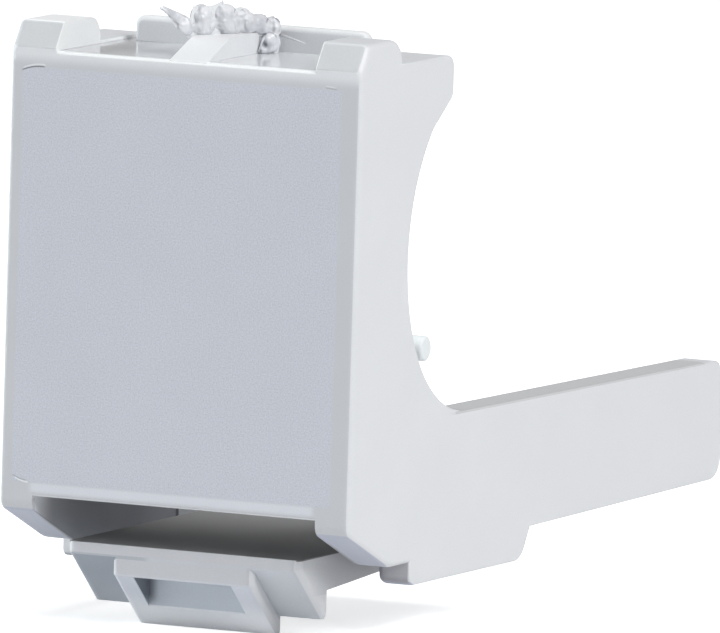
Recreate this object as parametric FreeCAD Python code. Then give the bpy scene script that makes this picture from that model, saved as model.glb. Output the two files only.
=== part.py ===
"""Keystone blank insert: one injection moulding in light grey plastic.

X is the width, Y the depth from the front face to the rear, Z is up.
The outlines are drawn with Z measured from the lower edge of the front plate,
and the finished moulding is lowered so that the origin is the centre of the front face.
"""
import FreeCAD, Part
import math
import os

from FreeCAD import Vector

# Front block
front_width = 14.6
plate_height = 16.9
plate_thickness = 1.5
wall_thickness = 1.38
top_thickness = 1.3
rear_depth = 8.24
front_edge_round = 0.22
plate_edge_round = 0.15
outer_edge_round = 0.08

# Ears that stand in front of the panel, and the rim behind them
ear_width = 1.9
ear_depth = 3.75
ear_height = 1.07
ear_slope_depth = 0.65
ear_slope_height = 0.95
ear_front_round = 0.25
ear_rear_round = 0.85
ear_side_round = 0.3
rim_rise = 0.12
rear_top_round = 0.5
rear_tab_height = 1.45
rear_low_round = 0.4

# Groove for the panel, and the rib that stops behind it
panel_gap = 1.85
rib_length = 9.75
rib_thickness = 0.6
rib_height = 0.99
rib_edge_round = 0.22
rib_end_round = 0.35

# Lower front corners of the side walls
chin_start = 0.5
chin_drop = 2.06
chin_slope_depth = 3.8
chin_front_round = 0.5
chin_rear_round = 2.0

# Feet behind the panel
foot_drop = 2.93
foot_rear_depth = 16.35
foot_rear_slope = 0.75
foot_front_round = 0.35
foot_inner_round = 0.3
foot_rear_round = 1.0

# Arms that run back from the feet
arm_length = 33.65
arm_rake = 0.25
arm_top = 3.31
arm_top_fall = 0.22
arm_low = -1.72
arm_low_rise = 0.18
arm_top_round = 0.55
arm_low_round = 0.9
peg_diameter = 1.0
peg_length = 1.0
peg_from_end = 0.95
peg_below_top = 0.64
peg_end_round = 0.12

# Hollow cut in each side wall, in two arcs
wall_neck = 4.65
lower_arc_share = 0.42
upper_arc_share = 0.513
arc_join_angle = 22.4
upper_arc_end_angle = 44.0

# Latch tongue between the side walls
tongue_width = 9.7
tongue_drop = 1.7
tongue_thickness = 1.42
tongue_root_thickness = 0.88
root_length = 2.6
root_setback = 1.15
nose_front = 0.95
nose_rear = 3.5
nose_face_height = 0.45
nose_bottom_drop = 4.17
nose_side_round = 0.35
nose_bottom_round = 0.18
beak_width = 5.9
beak_face_height = 1.16
beak_bottom_drop = 4.9
beak_edge_round = 0.28
pocket_width = 4.08
pocket_drop = 2.87
pocket_depth = 1.45
pocket_overcut = 1.0

# Torn moulding gate on the top wall
gate_left = -0.7
gate_right = 0.85
gate_top_height = 0.8
gate_slope_depth = 2.1
gate_start = 0.05
tear_start = 2.0
tear_slant = 1.6
torn_outline = [(-0.8, 0.68), (-1.13, 1.15), (-1.46, 1.97), (-1.17, 1.74), (-0.96, 1.48), (-0.77, 1.45),
                (-0.71, 1.88), (-0.25, 1.88), (-0.01, 2.05), (0.15, 1.66), (0.39, 1.8), (0.55, 1.74),
                (0.84, 1.35), (1.0, 1.22), (1.19, 1.43), (1.38, 1.04), (1.38, 0.44), (1.33, -0.05),
                (1.0, -0.05), (0.95, 0.66)]
torn_thickness = 0.9
torn_lean = -0.47
torn_fall = 0.09
torn_rear_share = 0.75

# Values worked out from the sizes above
hollow_height = plate_height - arm_top
lower_arc_radius = lower_arc_share * hollow_height
upper_arc_radius = upper_arc_share * hollow_height
rear_low_height = plate_height - rear_tab_height
foot_bottom_rear = foot_rear_depth - foot_rear_slope
root_rear = foot_rear_depth - root_setback
half_width = front_width / 2
inner_half = half_width - wall_thickness
stop_depth = ear_depth + panel_gap
ear_top = plate_height + ear_height
rim_top = plate_height + rim_rise
tongue_top = -tongue_drop
tongue_root_low = tongue_top - tongue_root_thickness
tiny = 0.01


def at(depth, height, width=0.0):
    """Point given as the side view shows it."""
    return Vector(width, depth, height)


def prism(edges, width_from, width_to):
    """Solid between two widths from a closed outline in the side view."""
    face = Part.Face(Part.Wire(edges))
    face.translate(Vector(width_from, 0, 0))
    return face.extrude(Vector(width_to - width_from, 0, 0))


def block(points, width_from, width_to):
    """Solid between two widths from straight lines through (depth, height) points."""
    corners = [at(*point) for point in points + points[:1]]
    return prism(Part.makePolygon(corners).Edges, width_from, width_to)


def box(width_from, width_to, depth_from, depth_to, height_from, height_to):
    size = (width_to - width_from, depth_to - depth_from, height_to - height_from)
    return Part.makeBox(*size, Vector(width_from, depth_from, height_from))


def crossing_edges(solid, places):
    """Edges along the width that pass through the given (depth, height) places."""
    found = []
    for edge in solid.Edges:
        ends = [vertex.Point for vertex in edge.Vertexes]
        if len(ends) < 2 or abs(ends[0].x - ends[1].x) < tiny:
            continue
        for depth, height in places:
            if all(math.hypot(end.y - depth, end.z - height) < tiny for end in ends):
                found.append(edge)
    return found


def round_corners(solid, radius, places):
    return solid.makeFillet(radius, crossing_edges(solid, places))


def edges_on_face(solid, width, chosen):
    """Edges that lie in the plane at one width and whose middle passes the test."""
    found = []
    for edge in solid.Edges:
        if all(abs(vertex.X - width) < tiny for vertex in edge.Vertexes):
            middle = edge.valueAt((edge.FirstParameter + edge.LastParameter) / 2)
            if abs(middle.x - width) < tiny and chosen(middle):
                found.append(edge)
    return found


def hollow_points():
    """Ends and middles of the two arcs of the hollow, from the arm to the rear tab."""
    join = math.radians(arc_join_angle)
    upper_gap = upper_arc_radius - lower_arc_radius
    arm_root = wall_neck + upper_arc_radius - upper_gap * math.cos(join)
    lower_centre = (arm_root, arm_top + lower_arc_radius)
    upper_centre = (wall_neck + upper_arc_radius, lower_centre[1] + upper_gap * math.sin(join))

    def on_arc(centre, radius, degrees_below):
        angle = math.radians(degrees_below)
        return at(centre[0] - radius * math.cos(angle), centre[1] - radius * math.sin(angle))

    lower_middle = (90 + arc_join_angle) / 2
    upper_middle = (arc_join_angle - upper_arc_end_angle) / 2
    return [at(arm_root, arm_top),
            on_arc(lower_centre, lower_arc_radius, lower_middle),
            on_arc(lower_centre, lower_arc_radius, arc_join_angle),
            on_arc(upper_centre, upper_arc_radius, upper_middle),
            on_arc(upper_centre, upper_arc_radius, -upper_arc_end_angle)]


def wall_outline():
    """Side view of one side wall with its ear, chin, foot and arm."""
    hollow = hollow_points()
    before = [hollow[-1],
              at(rear_depth, rear_low_height),
              at(rear_depth, rim_top),
              at(ear_depth, rim_top),
              at(ear_depth, ear_top),
              at(ear_slope_depth, ear_top),
              at(0, ear_top - ear_slope_height),
              at(0, -chin_start),
              at(chin_slope_depth, -chin_drop),
              at(stop_depth, -chin_drop),
              at(stop_depth, -foot_drop),
              at(foot_bottom_rear, -foot_drop),
              at(foot_rear_depth, arm_low),
              at(arm_length + arm_rake, arm_low + arm_low_rise),
              at(arm_length, arm_top - arm_top_fall),
              hollow[0]]
    edges = Part.makePolygon(before).Edges
    edges.append(Part.Arc(hollow[0], hollow[1], hollow[2]).toShape())
    edges.append(Part.Arc(hollow[2], hollow[3], hollow[4]).toShape())
    return edges


def side_wall():
    """Right side wall; its outer edges are rounded, most of all round the ear."""
    wall = prism(wall_outline(), inner_half, half_width)
    wall = round_corners(wall, ear_front_round, [(ear_slope_depth, ear_top)])
    wall = round_corners(wall, ear_rear_round, [(ear_depth, ear_top)])
    wall = round_corners(wall, rear_top_round, [(rear_depth, rim_top)])
    wall = round_corners(wall, rear_low_round, [(rear_depth, rear_low_height)])
    wall = round_corners(wall, chin_front_round, [(0, -chin_start)])
    wall = round_corners(wall, chin_rear_round, [(chin_slope_depth, -chin_drop)])
    wall = round_corners(wall, foot_front_round, [(stop_depth, -foot_drop)])
    wall = round_corners(wall, foot_rear_round, [(foot_bottom_rear, -foot_drop)])
    wall = round_corners(wall, arm_top_round, [(arm_length, arm_top - arm_top_fall)])
    wall = round_corners(wall, arm_low_round, [(arm_length + arm_rake, arm_low + arm_low_rise)])
    inner = edges_on_face(wall, inner_half, lambda middle: middle.y > stop_depth + foot_front_round
                          and middle.z < tiny - foot_drop)
    wall = wall.makeFillet(foot_inner_round, inner)
    ear = edges_on_face(wall, half_width, lambda middle: middle.z > plate_height + rim_rise + tiny)
    wall = wall.makeFillet(ear_side_round, ear)
    front = edges_on_face(wall, half_width, lambda middle: middle.y < chin_slope_depth / 2
                          and middle.z < plate_height)
    wall = wall.makeFillet(front_edge_round, front)
    rear = edges_on_face(wall, half_width, lambda middle: middle.y > ear_depth + tiny)
    return wall.makeFillet(outer_edge_round, rear)


def ear_inside():
    """Part of the ear that stands further in than the side wall."""
    points = [(0, plate_height - top_thickness),
              (0, ear_top - ear_slope_height),
              (ear_slope_depth, ear_top),
              (ear_depth, ear_top),
              (ear_depth, rim_top),
              (rear_depth, rim_top),
              (rear_depth, plate_height - top_thickness)]
    ear = block(points, half_width - ear_width, inner_half)
    ear = round_corners(ear, ear_front_round, [(ear_slope_depth, ear_top)])
    ear = round_corners(ear, ear_rear_round, [(ear_depth, ear_top)])
    return round_corners(ear, rear_top_round, [(rear_depth, rim_top)])


def arm_peg():
    """Small round peg on the inner face of the left arm, near its end."""
    centre = at(arm_length - peg_from_end, arm_top - peg_below_top, -inner_half)
    peg = Part.makeCylinder(peg_diameter / 2, peg_length, centre, Vector(1, 0, 0))
    end = [edge for edge in peg.Edges if abs(edge.CenterOfMass.x - centre.x - peg_length) < tiny]
    return peg.makeFillet(peg_end_round, end)


def front_plate():
    plate = box(-inner_half, inner_half, 0, plate_thickness, 0, plate_height)
    return round_corners(plate, plate_edge_round, [(0, 0), (0, plate_height)])


def top_wall():
    reach = half_width - ear_width
    low = plate_height - top_thickness
    return box(-reach, reach, plate_edge_round, rear_depth - rear_top_round, low, plate_height)


def rear_lip():
    """Rear end of the top wall, level with the rim."""
    lip_front = rear_depth - rear_top_round - rim_rise
    lip = box(-inner_half, inner_half, lip_front, rear_depth, plate_height - top_thickness, rim_top)
    return round_corners(lip, rear_top_round, [(rear_depth, rim_top)])


def catch_rib():
    """Rib across the top wall that stops behind the panel."""
    half = rib_length / 2
    top = plate_height + rib_height
    rib = box(-half, half, stop_depth, stop_depth + rib_thickness, plate_height - tiny, top)
    ends = edges_on_face(rib, half, lambda middle: middle.z > top - tiny)
    ends += edges_on_face(rib, -half, lambda middle: middle.z > top - tiny)
    rib = rib.makeFillet(rib_end_round, ends)
    long_edges = [edge for edge in rib.Edges
                  if edge.BoundBox.XLength > half and edge.BoundBox.ZMin > top - tiny]
    return rib.makeFillet(rib_edge_round, long_edges)


def nose_section(face_height, bottom_drop):
    """Side view of the nose: upright face, slope back to the bottom, upright rear."""
    return [(nose_front, tongue_top),
            (nose_front, tongue_top - face_height),
            (nose_rear - nose_bottom_round, -bottom_drop),
            (nose_rear, -bottom_drop),
            (nose_rear, tongue_top)]


def nose_block(width, face_height, bottom_drop, side_round):
    """Block with the nose section; its upright and sloping side edges are rounded."""
    half = width / 2
    shape = block(nose_section(face_height, bottom_drop), -half, half)
    slope_end = nose_rear - nose_bottom_round - tiny

    def on_front(middle):
        return middle.y < slope_end and middle.z < tongue_top - tiny

    sides = edges_on_face(shape, half, on_front) + edges_on_face(shape, -half, on_front)
    return shape.makeFillet(side_round, sides)


def driver_pocket():
    """Upright back and level ceiling, open to the front and below."""
    half = pocket_width / 2
    back = nose_front + pocket_depth
    low = -beak_bottom_drop - pocket_overcut
    return box(-half, half, nose_front - pocket_overcut, back, low, -pocket_drop)


def tongue():
    """Latch tongue: a slab that thins towards its root between the feet."""
    half = tongue_width / 2
    slab_front = nose_front + pocket_depth
    slab = block([(slab_front, tongue_top),
                  (root_rear, tongue_top),
                  (root_rear, tongue_root_low),
                  (root_rear - root_length, tongue_root_low),
                  (slab_front, tongue_top - tongue_thickness)], -half, half)
    root = box(-inner_half, inner_half, root_rear - root_length, root_rear, tongue_root_low, tongue_top)
    shoulders = nose_block(tongue_width, nose_face_height, nose_bottom_drop, nose_side_round)
    beak = nose_block(beak_width, beak_face_height, beak_bottom_drop, beak_edge_round)
    shape = slab.fuse([root, shoulders, beak])
    return shape.cut(driver_pocket())


def gate_stub():
    """Runner stub that climbs from the plate's top edge and runs level to the rib."""
    low = plate_height - plate_edge_round
    top = plate_height + gate_top_height
    points = [(gate_start, low),
              (gate_start, plate_height),
              (gate_slope_depth, top),
              (stop_depth, top),
              (stop_depth, low)]
    return block(points, gate_left, gate_right)


def torn_front():
    """Corners of the torn face, which crosses the stub at a slant."""
    corners = []
    for across, height in torn_outline:
        depth = tear_start + tear_slant * (across - gate_left)
        corners.append(at(depth, plate_height + height, across))
    return corners


def torn_lump():
    """Torn plastic on the stub, where the moulding was twisted off its runner."""
    front = torn_front()
    middle = at(tear_start - tear_slant * gate_left, plate_height + gate_top_height)
    step = Vector(torn_lean, 1, -torn_fall) * torn_thickness
    rear = [middle + (corner - middle) * torn_rear_share + step for corner in front]
    sections = [Part.makePolygon(corners + corners[:1]) for corners in (front, rear)]
    return Part.makeLoft(sections, True, True)


def moulding():
    right = side_wall().fuse(ear_inside())
    left = right.mirror(Vector(0, 0, 0), Vector(1, 0, 0))
    shape = front_plate().fuse([right, left, top_wall(), rear_lip(), catch_rib(), tongue(), arm_peg(),
                                gate_stub(), torn_lump()])
    shape = shape.removeSplitter()
    shape.translate(Vector(0, 0, -plate_height / 2))
    return shape


def main():
    os.makedirs("parts", exist_ok=True)
    shape = moulding()
    solid = shape.Solids[0] if len(shape.Solids) == 1 else shape
    print("solids", len(shape.Solids), "valid", shape.isValid(), "volume", round(shape.Volume, 1))
    solid.exportStep("parts/blank_insert.step")


main()
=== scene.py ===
"""Keystone blank insert in light grey plastic, shown as in the photograph."""
import bpy
from math import cos, sin
from mathutils import Matrix, Vector


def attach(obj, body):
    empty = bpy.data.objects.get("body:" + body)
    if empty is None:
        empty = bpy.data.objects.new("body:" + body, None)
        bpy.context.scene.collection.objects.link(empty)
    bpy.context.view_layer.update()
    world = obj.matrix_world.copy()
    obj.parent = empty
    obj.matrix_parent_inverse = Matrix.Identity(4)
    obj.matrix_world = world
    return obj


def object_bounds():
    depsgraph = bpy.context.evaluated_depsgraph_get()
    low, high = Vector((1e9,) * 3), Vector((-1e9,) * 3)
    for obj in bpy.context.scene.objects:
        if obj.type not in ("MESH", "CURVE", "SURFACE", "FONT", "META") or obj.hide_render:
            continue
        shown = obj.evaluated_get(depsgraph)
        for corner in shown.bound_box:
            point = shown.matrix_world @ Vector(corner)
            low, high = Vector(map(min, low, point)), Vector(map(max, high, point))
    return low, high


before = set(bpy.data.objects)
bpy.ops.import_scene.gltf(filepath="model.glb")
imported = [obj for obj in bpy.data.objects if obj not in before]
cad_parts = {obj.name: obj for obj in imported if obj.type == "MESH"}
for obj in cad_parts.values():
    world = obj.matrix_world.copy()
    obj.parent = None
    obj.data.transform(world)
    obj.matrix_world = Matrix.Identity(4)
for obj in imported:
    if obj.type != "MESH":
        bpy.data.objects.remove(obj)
solid_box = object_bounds()

# Places on the insert in millimetres, from the centre of the front face
MM = 0.001
HALF_WIDTH = 7.3
INNER_HALF = 5.92
PLATE_TOP = 8.45
PLATE_LOW = -8.45
EAR_INSIDE = 5.4
STOP_DEPTH = 5.6
TONGUE_TOP = -10.15
TONGUE_HALF = 4.85
NOSE_FRONT = 0.95
BEAK_HALF = 2.96
ARM_ROOT = 9.0
ARM_END = 33.65
ARM_TOP = -5.14
ARM_TOP_FALL = 0.22
STUB_SIDES = (-0.74, 0.89)
GRAIN_SIDES = (-6.78, 6.5)
GRAIN_ENDS = (-7.92, 7.8)
LOW_HIGHLIGHT_SIDES = (-6.0, 5.8)
LOW_HIGHLIGHT_ENDS = (-8.28, -7.93)
BAND_EDGE = 8.08
POCKET_CEILING = -11.32
POCKET_HALF = 2.04

# Sloped faces, as the two ends of their side view in depth and height
EAR_LINE = ((0, PLATE_TOP + 0.12), (0.65, PLATE_TOP + 1.07))
CHIN_LINE = ((0, PLATE_LOW - 0.5), (3.8, PLATE_LOW - 2.06))
SHOULDER_LINE = ((NOSE_FRONT, TONGUE_TOP - 0.45), (3.32, PLATE_LOW - 4.17))
BEAK_LINE = ((NOSE_FRONT, TONGUE_TOP - 1.16), (3.32, PLATE_LOW - 4.9))
ARM_LINE = ((ARM_ROOT, ARM_TOP), (ARM_END, ARM_TOP - ARM_TOP_FALL))

# The slanted face of the tear, in millimetres
STUB_LEFT = -0.7
TEAR_START = 2.0
TEAR_SLANT = 1.6
VOXEL = 0.04
# Relief of the torn plastic: name, grain, direction, strength and the level that stays in place
RELIEF = (("melted_folds", 0.5, "Y", -0.3, 0.4),
          ("melted_lumps", 0.25, "Y", -0.12, 0.4),
          ("torn_grain", 0.16, "NORMAL", 0.06, 0.4))

# How far a mask reaches past its face, in millimetres
SLACK = 0.02
FRONT_REACH = 0.03

# Colours of the plastic, as linear light; most of them are painted light and painted shade for single
# faces
PLASTIC = (0.705, 0.715, 0.738, 1)
BAND = (0.735, 0.745, 0.765, 1)
# Painted highlight along the plate's lower edge
LOW_EDGE_HIGHLIGHT = (0.67, 0.69, 0.74, 1)
# Painted highlight on the rounded edge between the front and the panel
EDGE_HIGHLIGHT = (0.88, 0.89, 0.90, 1)
# Painted shade over the front face and the chins' lower edges, and over the grained area on it
FRONT_SHADE = (0.565, 0.575, 0.602, 1)
GRAINED_SHADE = (0.568, 0.588, 0.648, 1)
# Painted shade on the sloped ear fronts
EAR_FRONT_SHADE = (0.59, 0.605, 0.62, 1)
# Painted light on the ears' inner faces and on the left ear's top
EAR_INNER_LIGHT = (0.86, 0.87, 0.87, 1)
EAR_TOP_LIGHT = (0.93, 0.94, 0.95, 1)
STUB = (0.785, 0.795, 0.81, 1)
# Painted reflection on the glossy panel: darker over most of it and to the left, paler to the right
PANEL_REFLECTION = (0.67, 0.68, 0.70, 1)
PANEL_LEFT_REFLECTION = (0.54, 0.55, 0.57, 1)
PANEL_RIGHT_REFLECTION = (0.78, 0.80, 0.82, 1)
# Painted light on the rib's crest
RIB_CREST_LIGHT = (0.82, 0.83, 0.84, 1)
# Painted shade on the chin slopes
CHIN_SLOPE_SHADE = (0.45, 0.475, 0.565, 1)
# Painted shade on the right foot's front
RIGHT_FOOT_SHADE = (0.40, 0.39, 0.435, 1)
# Painted light on the left foot's front
LEFT_FOOT_LIGHT = (0.93, 0.95, 0.97, 1)
# Painted shade on the nose's front faces
NOSE_FACE_SHADE = (0.58, 0.585, 0.615, 1)
# Painted shade on the shoulder slopes, darker on the left shoulder's upper part
SHOULDER_SOFT_SHADE = (0.58, 0.605, 0.65, 1)
SHOULDER_SHADE = (0.33, 0.36, 0.41, 1)
# Painted shade on the beak's slope, and painted light on its lower part
BEAK_SHADE = (0.64, 0.665, 0.73, 1)
BEAK_LOW_LIGHT = (0.96, 0.97, 1.0, 1)
# Painted shade in the pocket, darkest on its left side
POCKET_SOFT_SHADE = (0.60, 0.64, 0.70, 1)
POCKET_SHADE = (0.17, 0.19, 0.22, 1)
# Painted shade on the arms' glossy tops
ARM_TOP_SHADE = (0.60, 0.605, 0.62, 1)
PEG = (0.85, 0.89, 0.90, 1)
# Painted shadow in the small dents at the grain's corners, and painted highlights beside them
NICK_SHADOW = (0.16, 0.165, 0.18, 1)
NICK_HIGHLIGHT = (0.86, 0.87, 0.88, 1)
# Painted shade on the walls' inner faces under the plate, darker further back
WALL_SHADE = (0.38, 0.385, 0.41, 1)
WALL_FAR_SHADE = (0.20, 0.20, 0.22, 1)
# Painted shade on the tongue's top, darker to the right
TONGUE_SHADE = (0.235, 0.235, 0.235, 1)
TONGUE_FAR_SHADE = (0.18, 0.18, 0.18, 1)
# Painted shade on the sides of the tongue's slab
SLAB_SIDE_SHADE = (0.52, 0.53, 0.57, 1)
TORN = (0.80, 0.81, 0.84, 1)
TORN_GREY = (0.60, 0.61, 0.65, 1)
# Painted dark refraction in the clear torn plastic: rims and a spot
TORN_DARK_REFRACTION = (0.22, 0.22, 0.27, 1)
PLASTIC_IOR = 1.5

# Studio
FLOOR = (0.9, 0.9, 0.9, 1)
WHITE = (1, 1, 1, 1)
FLOOR_SPREAD = 6
FLOOR_GLOW = 0.6
AMBIENT = 0.03
WHITE_IN_REFLECTIONS = 0.35
LAMP_SIZE = 0.4
LAMP_AIM = (0, 0.01, 0)
CAMERA_PLACE = (0.344156, -0.716501, 0.089743)
CAMERA_RIGHT = (0.90323, 0.42812, 0.02984)
CAMERA_UP = (-0.07538, 0.08982, 0.99310)
CAMERA_BACK = (0.42248, -0.89925, 0.11340)
CAMERA_LENS = 1065.5
CAMERA_SENSOR = 36
CAMERA_NEAR = 0.01


class Paint:
    """Shader nodes of one material, with the place on the piece in millimetres."""

    def __init__(self, name):
        self.material = bpy.data.materials.new(name)
        self.material.use_nodes = True
        self.tree = self.material.node_tree
        self.shader = self.tree.nodes["Principled BSDF"]
        scaled = self.node("ShaderNodeVectorMath", operation="SCALE")
        self.link(self.node("ShaderNodeTexCoord").outputs["Object"], scaled.inputs[0])
        scaled.inputs["Scale"].default_value = 1 / MM
        self.place = scaled.outputs[0]
        parts = self.node("ShaderNodeSeparateXYZ")
        self.link(self.place, parts.inputs[0])
        self.x, self.y, self.z = parts.outputs
        self.either_side = self.maths("ABSOLUTE", self.x)

    def node(self, kind, **settings):
        made = self.tree.nodes.new(kind)
        for name, value in settings.items():
            setattr(made, name, value)
        return made

    def link(self, output, target):
        self.tree.links.new(output, target)

    def set(self, socket, value):
        """Sets a socket of the shader itself."""
        self.shader.inputs[socket].default_value = value

    def feed(self, value, target):
        """Joins another node's output to a socket, or sets the socket's own value."""
        if isinstance(value, (int, float, tuple)):
            target.default_value = value
        else:
            self.link(value, target)

    def maths(self, operation, *values, clamp=False):
        made = self.node("ShaderNodeMath", operation=operation, use_clamp=clamp)
        for index, value in enumerate(values):
            self.feed(value, made.inputs[index])
        return made.outputs[0]

    def rise(self, value, edge, softness=0.02):
        """0 below the edge and 1 above it, over the given width."""
        ramp = self.node("ShaderNodeMapRange", interpolation_type="SMOOTHSTEP")
        self.link(value, ramp.inputs["Value"])
        ramp.inputs["From Min"].default_value = edge - softness / 2
        ramp.inputs["From Max"].default_value = edge + softness / 2
        return ramp.outputs["Result"]

    def fall(self, value, edge, softness=0.02):
        """1 below the edge and 0 above it, over the given width."""
        return self.maths("SUBTRACT", 1.0, self.rise(value, edge, softness))

    def within(self, value, low, high, softness=0.02):
        """1 between two limits and 0 outside them."""
        past_low = self.rise(value, low, softness)
        past_high = self.rise(value, high, softness)
        return self.maths("SUBTRACT", past_low, past_high, clamp=True)

    def near(self, value, level, reach=0.03):
        """1 up to the reach away from the level."""
        return self.within(value, level - reach, level + reach)

    def times(self, *masks):
        result = masks[0]
        for mask in masks[1:]:
            result = self.maths("MULTIPLY", result, mask)
        return result

    def strongest(self, masks):
        result = masks[0]
        for mask in masks[1:]:
            result = self.maths("MAXIMUM", result, mask)
        return result

    def on_slope(self, line, reach=0.03):
        """1 on the face whose side view is the line between two (depth, height) places."""
        start, end = (Vector(place) for place in line)
        along = end - start
        across = Vector((-along.y, along.x)).normalized()
        part = self.maths("MULTIPLY_ADD", self.y, across.x, -across.dot(start))
        distance = self.maths("MULTIPLY_ADD", self.z, across.y, part)
        return self.near(distance, 0, reach)

    def distance_from(self, centre):
        apart = self.node("ShaderNodeVectorMath", operation="DISTANCE")
        self.link(self.place, apart.inputs[0])
        apart.inputs[1].default_value = centre
        return apart.outputs["Value"]

    def blend(self, mask, first, second):
        mix = self.node("ShaderNodeMix", data_type="RGBA")
        self.link(mask, mix.inputs["Factor"])
        self.feed(first, mix.inputs[6])
        self.feed(second, mix.inputs[7])
        return mix.outputs[2]

    def noise(self, scale, detail=2.0, rough=0.5):
        made = self.node("ShaderNodeTexNoise")
        self.link(self.place, made.inputs["Vector"])
        made.inputs["Scale"].default_value = scale
        made.inputs["Detail"].default_value = detail
        made.inputs["Roughness"].default_value = rough
        return made.outputs["Fac"]

    def scale_colour(self, colour, factor):
        tint = self.node("ShaderNodeVectorMath", operation="SCALE")
        self.link(colour, tint.inputs[0])
        self.link(factor, tint.inputs["Scale"])
        return tint.outputs[0]

    def bump(self, height, strength, distance):
        """Relief with the given distance in millimetres."""
        made = self.node("ShaderNodeBump")
        made.inputs["Strength"].default_value = strength
        made.inputs["Distance"].default_value = distance * MM
        self.link(height, made.inputs["Height"])
        self.link(made.outputs[0], self.shader.inputs["Normal"])


# Masks for the front and what stands on it

def stroke(paint, start, end, bulge, half_width):
    """Thin line on the front between two (across, height) places, bent upwards by the bulge."""
    share = paint.node("ShaderNodeMapRange")
    paint.link(paint.x, share.inputs["Value"])
    share.inputs["From Min"].default_value = start[0]
    share.inputs["From Max"].default_value = end[0]
    along = share.outputs["Result"]
    line = paint.maths("MULTIPLY_ADD", along, end[1] - start[1], start[1])
    arch = paint.times(along, paint.maths("SUBTRACT", 1.0, along))
    line = paint.maths("MULTIPLY_ADD", arch, 4 * bulge, line)
    distance = paint.maths("SUBTRACT", paint.z, line)
    ends = paint.within(paint.x, start[0], end[0], 0.12)
    return paint.times(ends, paint.within(distance, -half_width, half_width, half_width))


def corner_nicks_and_shading(paint):
    """Dark strokes of painted shadow in the small dents at the corners of the grained area, and pale
    strokes of painted highlight beside them.
    """
    dark = [paint.times(stroke(paint, (-6.8, 7.66), (-5.88, 7.82), 0.06, 0.024), 0.9),
            paint.times(stroke(paint, (-6.74, -7.69), (-6.2, -7.86), -0.03, 0.02), 0.5),
            paint.times(stroke(paint, (5.85, 7.86), (6.3, 7.82), 0.0, 0.02), 0.35)]
    pale = [paint.times(stroke(paint, (-6.75, 7.75), (-5.85, 7.9), 0.06, 0.03), 0.6),
            paint.times(stroke(paint, (-6.64, -7.78), (-6.1, -7.93), -0.03, 0.03), 0.7),
            paint.times(stroke(paint, (5.85, 7.93), (6.25, 7.9), 0.0, 0.025), 0.4)]
    return paint.strongest(dark), paint.strongest(pale)


def front_face(paint):
    return paint.maths("LESS_THAN", paint.y, FRONT_REACH)


def chin_edges(paint):
    """Rounded lower edges of the chins, inside the outer side faces."""
    return paint.times(paint.maths("LESS_THAN", paint.y, 0.3),
                       paint.maths("LESS_THAN", paint.z, PLATE_LOW - 0.1),
                       paint.within(paint.x, 0.1 - HALF_WIDTH, HALF_WIDTH - 0.1))


def grained_area(paint):
    return paint.times(front_face(paint),
                       paint.within(paint.x, *GRAIN_SIDES, 0.15),
                       paint.within(paint.z, *GRAIN_ENDS, 0.15))


def lower_edge_highlight(paint):
    """Painted highlight just above the plate's lower edge, between the chins."""
    return paint.times(paint.within(paint.z, *LOW_HIGHLIGHT_ENDS, 0.2),
                       paint.within(paint.x, *LOW_HIGHLIGHT_SIDES, 0.3))


def between_ears(paint):
    return paint.within(paint.x, -EAR_INSIDE, EAR_INSIDE)


def front_top_edge(paint):
    """Rounded edge between the front and the panel, which gets a painted highlight."""
    edge = paint.times(paint.rise(paint.z, PLATE_TOP - 0.1, 0.04),
                       paint.within(paint.y, -SLACK, 0.26, 0.04))
    return paint.times(edge, between_ears(paint))


# Sloped ear fronts, which get painted shade
def ear_fronts(paint):
    return paint.times(paint.on_slope(EAR_LINE), paint.within(paint.y, -SLACK, 0.62, 0.1))


# Inner faces of the ears, which get painted light
def ear_inner_faces(paint):
    side = paint.near(paint.either_side, EAR_INSIDE, 0.04)
    return paint.times(side, paint.within(paint.z, PLATE_TOP + SLACK, PLATE_TOP + 1.2))


# Top of the left ear, which gets painted light
def left_ear_top(paint):
    left = paint.rise(paint.maths("MULTIPLY", paint.x, -1.0), EAR_INSIDE)
    return paint.times(left, paint.rise(paint.z, PLATE_TOP + 1.03))


# Masks for the top

# Glossy panel on top, which also gets a painted reflection
def top_panel(paint):
    return paint.times(paint.near(paint.z, PLATE_TOP, SLACK), between_ears(paint),
                       paint.rise(paint.y, 0.3, 0.3))


def before_rib(paint):
    return paint.fall(paint.y, STOP_DEPTH + 1.0, 0.5)


def stub_faces(paint):
    return paint.times(paint.within(paint.x, *STUB_SIDES),
                       paint.within(paint.y, FRONT_REACH, STOP_DEPTH - FRONT_REACH),
                       paint.rise(paint.z, PLATE_TOP + SLACK))


# Crest of the rib, which gets painted light
def rib_crest(paint):
    return paint.times(between_ears(paint), paint.rise(paint.y, STOP_DEPTH),
                       paint.rise(paint.z, PLATE_TOP + 0.8, 0.4))


# Masks for the chins, the latch tongue and the feet

# Chin slopes, which get painted shade
def chin_slopes(paint):
    return paint.times(paint.on_slope(CHIN_LINE, 0.05), paint.rise(paint.either_side, TONGUE_HALF + 0.5))


# Front faces of the nose, which get painted shade
def nose_faces(paint):
    low = paint.within(paint.z, TONGUE_TOP - 1.2, TONGUE_TOP + SLACK)
    return paint.times(paint.near(paint.y, NOSE_FRONT), low)


def behind_nose_face(paint):
    return paint.rise(paint.y, NOSE_FRONT, 0.1)


# Shoulder slopes, which get painted shade
def shoulder_slopes(paint):
    return paint.times(paint.on_slope(SHOULDER_LINE, 0.05), behind_nose_face(paint))


def shoulder_shade(paint):
    """Painted shade, darker on the upper part of the left shoulder, under the nose's face."""
    return paint.times(shoulder_slopes(paint), paint.fall(paint.x, -1.5, 0.5),
                       paint.rise(paint.z, TONGUE_TOP - 2.0, 2.0))


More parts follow.
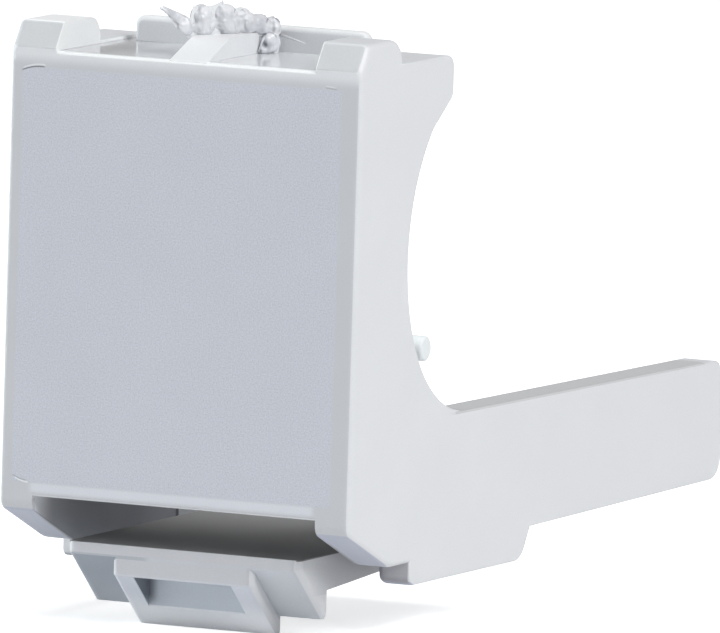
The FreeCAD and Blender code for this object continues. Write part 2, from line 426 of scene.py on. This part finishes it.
# Beak slopes, which get painted shade
def beak_slopes(paint):
    return paint.times(paint.on_slope(BEAK_LINE, 0.05), behind_nose_face(paint),
                       paint.within(paint.x, -BEAK_HALF, BEAK_HALF))


# Lower part of the beak, which gets painted light
def beak_low_part(paint):
    return paint.times(beak_slopes(paint), paint.fall(paint.z, -12.4, 1.2))


def pocket_faces(paint):
    """Back and sides of the pocket, behind the beak's slope, which get painted shade."""
    return paint.times(paint.within(paint.x, -POCKET_HALF - SLACK, POCKET_HALF + SLACK),
                       paint.within(paint.y, NOSE_FRONT + 0.05, 2.6, 0.1),
                       paint.maths("SUBTRACT", 1.0, beak_slopes(paint)),
                       paint.within(paint.z, POCKET_CEILING - 1.3, POCKET_CEILING + 0.05))


def pocket_shade(paint):
    """Painted shade on the pocket's left side, fading over its back."""
    return paint.times(pocket_faces(paint), paint.fall(paint.x, 0.2 - POCKET_HALF, 0.55),
                       paint.rise(paint.z, POCKET_CEILING - 1.0, 0.5))


def foot_fronts(paint):
    return paint.times(paint.within(paint.z, PLATE_LOW - 3.0, PLATE_LOW - 2.0),
                       paint.within(paint.y, STOP_DEPTH - SLACK, STOP_DEPTH + 0.1, 0.1))


# Front of the right foot, which gets painted shade
def right_foot_front(paint):
    right = paint.within(paint.x, INNER_HALF - SLACK, HALF_WIDTH - 0.1)
    return paint.times(foot_fronts(paint), right)


# Front of the left foot, which gets painted light
def left_foot_front(paint):
    left = paint.within(paint.x, -HALF_WIDTH - 0.1, 0.6 - INNER_HALF)
    return paint.times(foot_fronts(paint), left)


def slab_sides(paint):
    """Outer sides of the tongue's slab, where painted shade fades in behind the nose."""
    return paint.times(paint.near(paint.either_side, TONGUE_HALF), paint.rise(paint.y, 3.2, 3.0),
                       paint.within(paint.z, TONGUE_TOP - 1.5, TONGUE_TOP - SLACK))


# Top of the tongue under the plate, which gets painted shade fading out further back
def tongue_top(paint):
    level = paint.times(paint.near(paint.z, TONGUE_TOP, 0.04),
                        paint.within(paint.x, -TONGUE_HALF - SLACK, INNER_HALF))
    return paint.times(level, paint.rise(paint.y, NOSE_FRONT + 0.08, 0.08), paint.fall(paint.y, 14, 4))


# Masks for the walls and the arms

def wall_insides(paint):
    """Inner faces of the walls beside the gap under the plate, which get painted shade."""
    return paint.times(paint.near(paint.either_side, INNER_HALF, 0.12),
                       paint.within(paint.z, TONGUE_TOP - 1.3, PLATE_LOW + 0.4, 0.5),
                       paint.rise(paint.y, 1.1, 1.8), paint.fall(paint.y, 16, 4))


def arm_tops(paint):
    """Glossy upper faces of the arms, with painted shade up to the paler ends."""
    return paint.times(paint.on_slope(ARM_LINE, 0.06),
                       paint.within(paint.y, ARM_ROOT, ARM_END - 1.3, 1.0))


def peg_faces(paint):
    return paint.times(paint.rise(paint.y, ARM_END - 3),
                       paint.within(paint.x, FRONT_REACH - INNER_HALF, 2 - INNER_HALF))


def plastic_colour(paint, grain_area, panel, strip, insides, tongue, nick_dents_and_shadows, nick_highlights):
    """Plain plastic, with the painted light and painted shade of each face laid over it in turn."""
    # The front and the rounded lower edges of the chins get painted shade
    front = paint.maths("MAXIMUM", front_face(paint), chin_edges(paint))
    # Most of these tones paint light and shade onto single faces, as their names say
    tones = [(front, FRONT_SHADE),
             (paint.times(front, paint.rise(paint.z, BAND_EDGE, 0.5)), BAND),
             (paint.times(front, lower_edge_highlight(paint)), LOW_EDGE_HIGHLIGHT),
             (front_top_edge(paint), EDGE_HIGHLIGHT),
             (grain_area, GRAINED_SHADE),
             (nick_highlights, NICK_HIGHLIGHT),
             (nick_dents_and_shadows, NICK_SHADOW),
             (ear_fronts(paint), EAR_FRONT_SHADE),
             (ear_inner_faces(paint), EAR_INNER_LIGHT),
             (left_ear_top(paint), EAR_TOP_LIGHT),
             (panel, PANEL_REFLECTION),
             (paint.times(panel, before_rib(paint), paint.fall(paint.x, -3.6, 1.2)), PANEL_LEFT_REFLECTION),
             (paint.times(panel, before_rib(paint), paint.rise(paint.x, 1.6, 1.6)), PANEL_RIGHT_REFLECTION),
             (rib_crest(paint), RIB_CREST_LIGHT),
             (stub_faces(paint), STUB),
             (chin_slopes(paint), CHIN_SLOPE_SHADE),
             (nose_faces(paint), NOSE_FACE_SHADE),
             (shoulder_slopes(paint), SHOULDER_SOFT_SHADE),
             (shoulder_shade(paint), SHOULDER_SHADE),
             (beak_slopes(paint), BEAK_SHADE),
             (beak_low_part(paint), BEAK_LOW_LIGHT),
             (pocket_faces(paint), POCKET_SOFT_SHADE),
             (pocket_shade(paint), POCKET_SHADE),
             (right_foot_front(paint), RIGHT_FOOT_SHADE),
             (left_foot_front(paint), LEFT_FOOT_LIGHT),
             (strip, ARM_TOP_SHADE),
             (peg_faces(paint), PEG),
             (slab_sides(paint), SLAB_SIDE_SHADE),
             (insides, WALL_SHADE),
             (paint.times(insides, paint.rise(paint.y, 7, 5)), WALL_FAR_SHADE),
             (tongue, TONGUE_SHADE),
             (paint.times(tongue, paint.rise(paint.x, 1.5, 4)), TONGUE_FAR_SHADE)]
    colour = PLASTIC
    for mask, tone in tones:
        colour = paint.blend(mask, colour, tone)
    return colour


def moulded_plastic():
    """Light grey plastic: a grained front, smooth sides and a glossy panel on top, with painted light
    and shade on many faces.
    """
    paint = Paint("moulded_plastic")
    grain_area = grained_area(paint)
    panel = top_panel(paint)
    strip = arm_tops(paint)
    insides = wall_insides(paint)
    tongue = tongue_top(paint)
    nick_dents_and_shadows, nick_highlights = (paint.times(front_face(paint), nick_mask) for nick_mask in corner_nicks_and_shading(paint))
    colour = plastic_colour(paint, grain_area, panel, strip, insides, tongue, nick_dents_and_shadows, nick_highlights)

    speckle = paint.maths("SUBTRACT", paint.noise(17, 1), 0.5)
    speckle = paint.times(speckle, paint.maths("MULTIPLY_ADD", grain_area, 0.35, 0.12))
    mottle = paint.maths("MULTIPLY_ADD", paint.noise(0.3, 3), 0.05, 0.975)
    colour = paint.scale_colour(colour, paint.maths("ADD", speckle, mottle))
    paint.link(colour, paint.shader.inputs["Base Color"])

    rough = paint.maths("MULTIPLY_ADD", grain_area, 0.22, 0.4)
    rough = paint.maths("MULTIPLY_ADD", panel, -0.3, rough)
    rough = paint.maths("MULTIPLY_ADD", strip, -0.15, rough)
    rough = paint.maths("MULTIPLY_ADD", paint.maths("MAXIMUM", insides, tongue), 0.4, rough)
    paint.link(rough, paint.shader.inputs["Roughness"])
    paint.set("IOR", PLASTIC_IOR)

    pits = paint.times(paint.noise(12, 3, 0.6), paint.maths("MULTIPLY_ADD", grain_area, 0.9, 0.1))
    paint.bump(paint.maths("MULTIPLY_ADD", nick_dents_and_shadows, -2.0, pits), 0.4, 0.02)
    return paint.material


def ring(paint, centre, radius):
    """Upper half of a thin ring round a place on the torn piece, where a dark rim is painted."""
    circle = paint.within(paint.distance_from(centre), radius - 0.03, radius + 0.03, 0.03)
    return paint.times(circle, paint.rise(paint.z, centre.z + 0.4 * radius, 0.15))


def torn_plastic():
    """The same plastic where it was torn: paler, glossy and a little clear, with its dark refraction
    painted as rings and a spot.
    """
    paint = Paint("torn_plastic")
    colour = paint.blend(paint.rise(paint.noise(1.6, 4), 0.55, 0.3), TORN, TORN_GREY)
    # Painted dark spot and rims stand for refraction in the clear plastic
    spot = paint.fall(paint.distance_from(torn_spot(1.12, 0.33, 0.25)), 0.14, 0.2)
    dark = paint.strongest([paint.times(spot, 0.7),
                            paint.times(ring(paint, torn_spot(1.16, 0.5, 0.2), 0.3), 0.6),
                            paint.times(ring(paint, torn_spot(1.19, 1.05, 0.15), 0.33), 0.7),
                            paint.times(ring(paint, torn_spot(0.42, 1.5, 0.15), 0.26), 0.6)])
    paint.link(paint.blend(dark, colour, TORN_DARK_REFRACTION), paint.shader.inputs["Base Color"])
    paint.set("Roughness", 0.25)
    paint.set("Transmission Weight", 0.1)
    paint.set("IOR", PLASTIC_IOR)
    paint.bump(paint.noise(5, 4), 0.35, 0.04)
    return paint.material


def torn_spot(across, height, forward=0.0):
    """Place in millimetres on the slanted face of the tear; height is above the top wall."""
    depth = TEAR_START + TEAR_SLANT * (across - STUB_LEFT)
    return Vector((across, depth - forward, PLATE_TOP + height))


def torn_place(across, height, forward=0.0):
    """The same place in metres."""
    return torn_spot(across, height, forward) * MM


def blob(place, half_sizes, tilt=0.0):
    """Rounded lump on the face of the tear: half sizes along it, through it and up, in millimetres."""
    along = Vector((1, TEAR_SLANT, 0)).normalized()
    up = Vector((0, 0, 1))
    first = along * cos(tilt) + up * sin(tilt)
    third = up * cos(tilt) - along * sin(tilt)
    turn = Matrix((first, third.cross(first), third)).transposed().to_euler()
    bpy.ops.mesh.primitive_uv_sphere_add(segments=20, ring_count=12, radius=MM,
                                         location=place, rotation=turn)
    made = bpy.context.object
    made.scale = half_sizes
    return made


def thread(start, end, thick_start, thick_end):
    """Drawn-out thread of plastic between two places."""
    along = end - start
    turn = along.to_track_quat("Z", "Y").to_euler()
    bpy.ops.mesh.primitive_cone_add(vertices=12, radius1=thick_start * MM, radius2=thick_end * MM,
                                    depth=along.length, location=(start + end) / 2, rotation=turn)
    return bpy.context.object


def select_only(piece):
    bpy.ops.object.select_all(action="DESELECT")
    piece.select_set(True)
    bpy.context.view_layer.objects.active = piece


def join(pieces):
    """Joins the pieces into the first one, with their places in its mesh."""
    bpy.ops.object.select_all(action="DESELECT")
    for piece in pieces:
        piece.select_set(True)
    bpy.context.view_layer.objects.active = pieces[0]
    bpy.ops.object.transform_apply(location=True, rotation=True, scale=True)
    bpy.ops.object.join()
    return pieces[0]


def apply_modifier(piece, kind, **settings):
    modifier = piece.modifiers.new(kind.lower(), kind)
    for name, value in settings.items():
        setattr(modifier, name, value)
    select_only(piece)
    bpy.ops.object.modifier_apply(modifier=modifier.name)


def torn_curl():
    """Blade that curls away to the left."""
    return [blob(torn_place(-1.27, 1.69), (0.48, 0.06, 0.09), -0.42),
            blob(torn_place(-1.08, 1.47), (0.52, 0.09, 0.19), -0.52),
            blob(torn_place(-0.88, 1.14), (0.42, 0.12, 0.28), -0.75)]


def torn_folds():
    """Melted folds over the face of the tear, and the two humps on its crest."""
    return [blob(torn_place(-0.58, 1.52, -0.27), (0.42, 0.36, 0.42)),
            blob(torn_place(-0.54, 1.12, -0.26), (0.55, 0.36, 0.46), 0.3),
            blob(torn_place(-0.05, 1.42, -0.28), (0.6, 0.36, 0.5)),
            blob(torn_place(0.1, 1.12, -0.24), (0.7, 0.36, 0.42)),
            blob(torn_place(0.5, 1.16, -0.22), (0.6, 0.36, 0.42), -0.1),
            blob(torn_place(0.82, 1.1, -0.22), (0.5, 0.36, 0.38), -0.3),
            blob(torn_place(0.42, 1.48, -0.14), (0.32, 0.22, 0.24)),
            blob(torn_place(1.19, 1.02, -0.12), (0.27, 0.26, 0.33))]


def torn_drop():
    """Drop that hangs beside the stub, and its foot on the panel."""
    return [blob(torn_place(1.12, 0.45, -0.1), (0.44, 0.3, 0.46)),
            blob(torn_place(1.0, 0.15, -0.06), (0.34, 0.24, 0.2))]


def torn_threads():
    """Thread to the right, a strand on the drop and the spike on the crest."""
    right_end = Vector((2.5, 5.1, PLATE_TOP + 0.45)) * MM
    return [thread(torn_place(1.37, 0.69), right_end, 0.06, 0.02),
            thread(torn_place(1.05, 0.7, 0.2), torn_place(0.92, 0.1, 0.2), 0.05, 0.03),
            thread(torn_place(-0.02, 1.8), torn_place(-0.02, 2.1), 0.045, 0.02)]


def torn_gate():
    """Torn plastic over the solid's lump, melted into one mesh, with its threads."""
    curl = torn_curl()
    folds = torn_folds()
    drop = torn_drop()
    gate = join(folds + curl + drop)
    gate.name = "torn_gate"
    apply_modifier(gate, "REMESH", mode="VOXEL", voxel_size=VOXEL * MM)
    for name, grain, direction, strength, level in RELIEF:
        lumps = bpy.data.textures.new(name, "CLOUDS")
        lumps.noise_scale = grain * MM
        apply_modifier(gate, "DISPLACE", texture=lumps, texture_coords="LOCAL",
                       direction=direction, strength=strength * MM, mid_level=level)
    apply_modifier(gate, "SMOOTH", factor=0.5, iterations=3)
    gate = join([gate] + torn_threads())
    bpy.ops.object.shade_smooth()
    gate.data.materials.clear()
    gate.data.materials.append(torn_plastic())
    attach(gate, "root")


def floor_material():
    """Pale floor that the camera sees as white, with the shadow kept."""
    paint = Paint("pale_floor")
    paint.set("Base Color", FLOOR)
    paint.set("Roughness", 0.9)
    paint.set("Specular IOR Level", 0.0)
    paint.set("Emission Color", WHITE)
    rays = paint.node("ShaderNodeLightPath")
    seen = paint.maths("MAXIMUM", rays.outputs["Is Camera Ray"], rays.outputs["Is Transmission Ray"])
    mirrored = paint.maths("MULTIPLY", rays.outputs["Is Glossy Ray"], WHITE_IN_REFLECTIONS)
    glow = paint.maths("MULTIPLY", paint.maths("MAXIMUM", seen, mirrored), FLOOR_GLOW)
    paint.link(glow, paint.shader.inputs["Emission Strength"])
    return paint.material


def build_floor():
    bpy.ops.mesh.primitive_plane_add(size=FLOOR_SPREAD, location=(0, 0, solid_box[0][2]))
    floor = bpy.context.object
    floor.name = "floor"
    floor.data.materials.append(floor_material())


def build_world():
    """White for the camera and through clear plastic, grey in reflections and dim as light."""
    world = bpy.data.worlds.new("studio")
    bpy.context.scene.world = world
    world.use_nodes = True
    tree = world.node_tree
    back = tree.nodes["Background"]
    back.inputs["Color"].default_value = WHITE
    rays = tree.nodes.new("ShaderNodeLightPath")
    seen = tree.nodes.new("ShaderNodeMath")
    seen.operation = "MAXIMUM"
    tree.links.new(rays.outputs["Is Camera Ray"], seen.inputs[0])
    tree.links.new(rays.outputs["Is Transmission Ray"], seen.inputs[1])
    mirrored = tree.nodes.new("ShaderNodeMath")
    mirrored.operation = "MULTIPLY_ADD"
    tree.links.new(rays.outputs["Is Glossy Ray"], mirrored.inputs[0])
    mirrored.inputs[1].default_value = WHITE_IN_REFLECTIONS
    mirrored.inputs[2].default_value = AMBIENT
    strength = tree.nodes.new("ShaderNodeMath")
    strength.operation = "MAXIMUM"
    tree.links.new(seen.outputs[0], strength.inputs[0])
    tree.links.new(mirrored.outputs[0], strength.inputs[1])
    tree.links.new(strength.outputs[0], back.inputs["Strength"])


def soft_box(name, place, power, colour):
    """Square studio lamp that faces the insert."""
    lamp = bpy.data.lights.new(name, "AREA")
    lamp.shape = "SQUARE"
    lamp.size = LAMP_SIZE
    lamp.energy = power
    lamp.color = colour
    box = bpy.data.objects.new(name, lamp)
    bpy.context.scene.collection.objects.link(box)
    box.location = place
    towards = Vector(LAMP_AIM) - Vector(place)
    box.rotation_euler = towards.to_track_quat("-Z", "Y").to_euler()


def build_lights():
    soft_box("right_lamp", (0.55, -0.2, 0.45), 4.2, (0.98, 0.99, 1.0))
    soft_box("top_lamp", (0.05, 0.0, 0.7), 2.0, (1.0, 0.99, 0.98))
    soft_box("left_lamp", (-0.7, -0.1, 0.12), 4.0, (0.90, 0.98, 1.0))
    soft_box("front_lamp", (-0.5, -0.5, 0.15), 1.1, (0.93, 0.96, 1.0))


def build_camera():
    """Camera at the photograph's angle and distance."""
    data = bpy.data.cameras.new("camera")
    data.sensor_width = CAMERA_SENSOR
    data.lens = CAMERA_LENS
    data.clip_start = CAMERA_NEAR
    camera = bpy.data.objects.new("camera", data)
    bpy.context.scene.collection.objects.link(camera)
    turn = Matrix((CAMERA_RIGHT, CAMERA_UP, CAMERA_BACK)).transposed().to_4x4()
    camera.matrix_world = Matrix.Translation(CAMERA_PLACE) @ turn
    bpy.context.scene.camera = camera


def main():
    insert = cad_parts["blank_insert"]
    torn_gate()
    insert.data.materials.clear()
    insert.data.materials.append(moulded_plastic())
    build_floor()
    build_world()
    build_lights()
    build_camera()
    bpy.context.scene.view_settings.view_transform = "Standard"


main()
